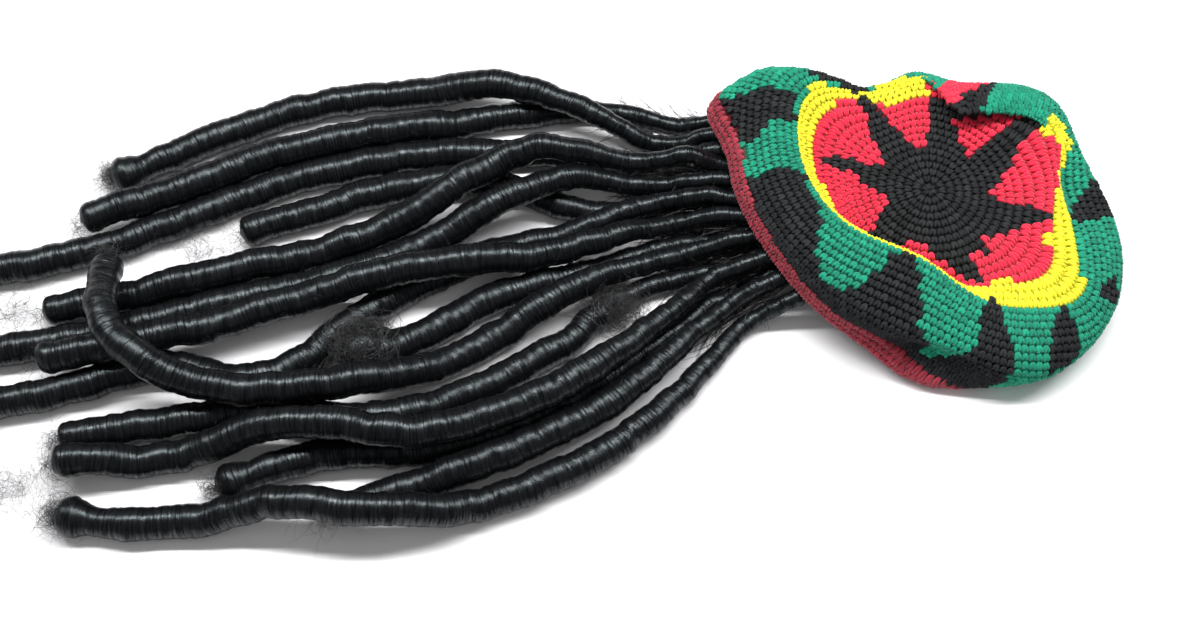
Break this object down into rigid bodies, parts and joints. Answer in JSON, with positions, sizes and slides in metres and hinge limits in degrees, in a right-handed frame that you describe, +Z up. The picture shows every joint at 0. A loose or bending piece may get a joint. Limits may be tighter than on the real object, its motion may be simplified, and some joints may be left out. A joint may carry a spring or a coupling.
{
  "type": "beanie with dreadlocks",
  "caption": "Bulky crocheted slouch beanie lying flat with its crown up; long wrapped-hair dreadlocks sewn in under the rim fan out beside it.",
  "frame": {"origin": "on the surface that the cap lies on, under the middle of the cap, on the flat underside of the side band", "axes": "+X from the dreadlocks' ends to the cap, +Y from the lower left edge of the cap to its far edge, +Z up"},
  "size_m": [0.8216, 0.3606, 0.0678],
  "materials": {
    "red_yarn": "matte bulky yarn",
    "yellow_yarn": "matte bulky yarn",
    "green_yarn": "matte bulky yarn",
    "dark_red_yarn": "matte bulky yarn",
    "black_yarn": "matte bulky yarn",
    "black_hair": "satin synthetic hair"
  },
  "bodies": {
    "root": {"crown": "red_yarn", "crown_stripe": "yellow_yarn", "side_band": "green_yarn", "rim_band": "dark_red_yarn", "dreadlock_01": "black_hair", "dreadlock_02": "black_hair", "dreadlock_03": "black_hair", "dreadlock_04": "black_hair", "dreadlock_05": "black_hair", "dreadlock_06": "black_hair", "dreadlock_07": "black_hair", "dreadlock_09": "black_hair", "dreadlock_10": "black_hair", "dreadlock_11": "black_hair", "dreadlock_12": "black_hair", "dreadlock_13": "black_hair", "dreadlock_14": "black_hair", "dreadlock_16": "black_hair", "dreadlock_18": "black_hair"}
  },
  "joints": []
}
